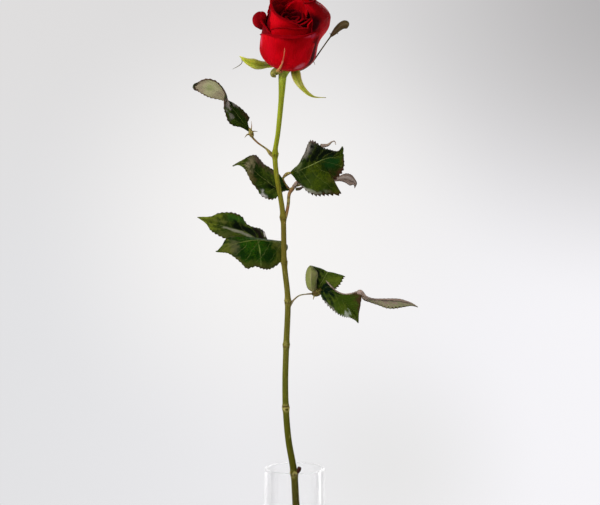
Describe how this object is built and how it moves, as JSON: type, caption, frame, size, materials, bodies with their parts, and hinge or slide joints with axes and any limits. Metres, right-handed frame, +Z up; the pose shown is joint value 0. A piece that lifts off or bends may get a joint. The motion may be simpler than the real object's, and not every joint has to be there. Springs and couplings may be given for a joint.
{
  "type": "rose in a bud vase",
  "caption": "Cut red rose with compound leaves, standing in a clear cylinder bud vase with water; a free-standing table decoration",
  "frame": {"origin": "centre of the vase's flat foot, where it stands on the table", "axes": "+Z up along the vase's axis; -Y is the front, the side the bloom nods to; +X is to the right seen from the front"},
  "size_m": [0.1705, 0.0993, 0.5669],
  "materials": {
    "glass": "clear polished glass",
    "water": "clear still water",
    "stem": "smooth green bark, browner towards the cut end",
    "leaf": "dark green, semi-gloss upper face, pale grey-green underside",
    "calyx": "matte light green",
    "petal": "velvety red"
  },
  "bodies": {
    "root": {"vase": "glass", "water": "water", "stem": "stem", "leaf_upper_left": "leaf", "leaf_right": "leaf", "leaf_left": "leaf", "leaf_lower_right": "leaf", "calyx": "calyx", "bloom": "petal"}
  },
  "joints": []
}
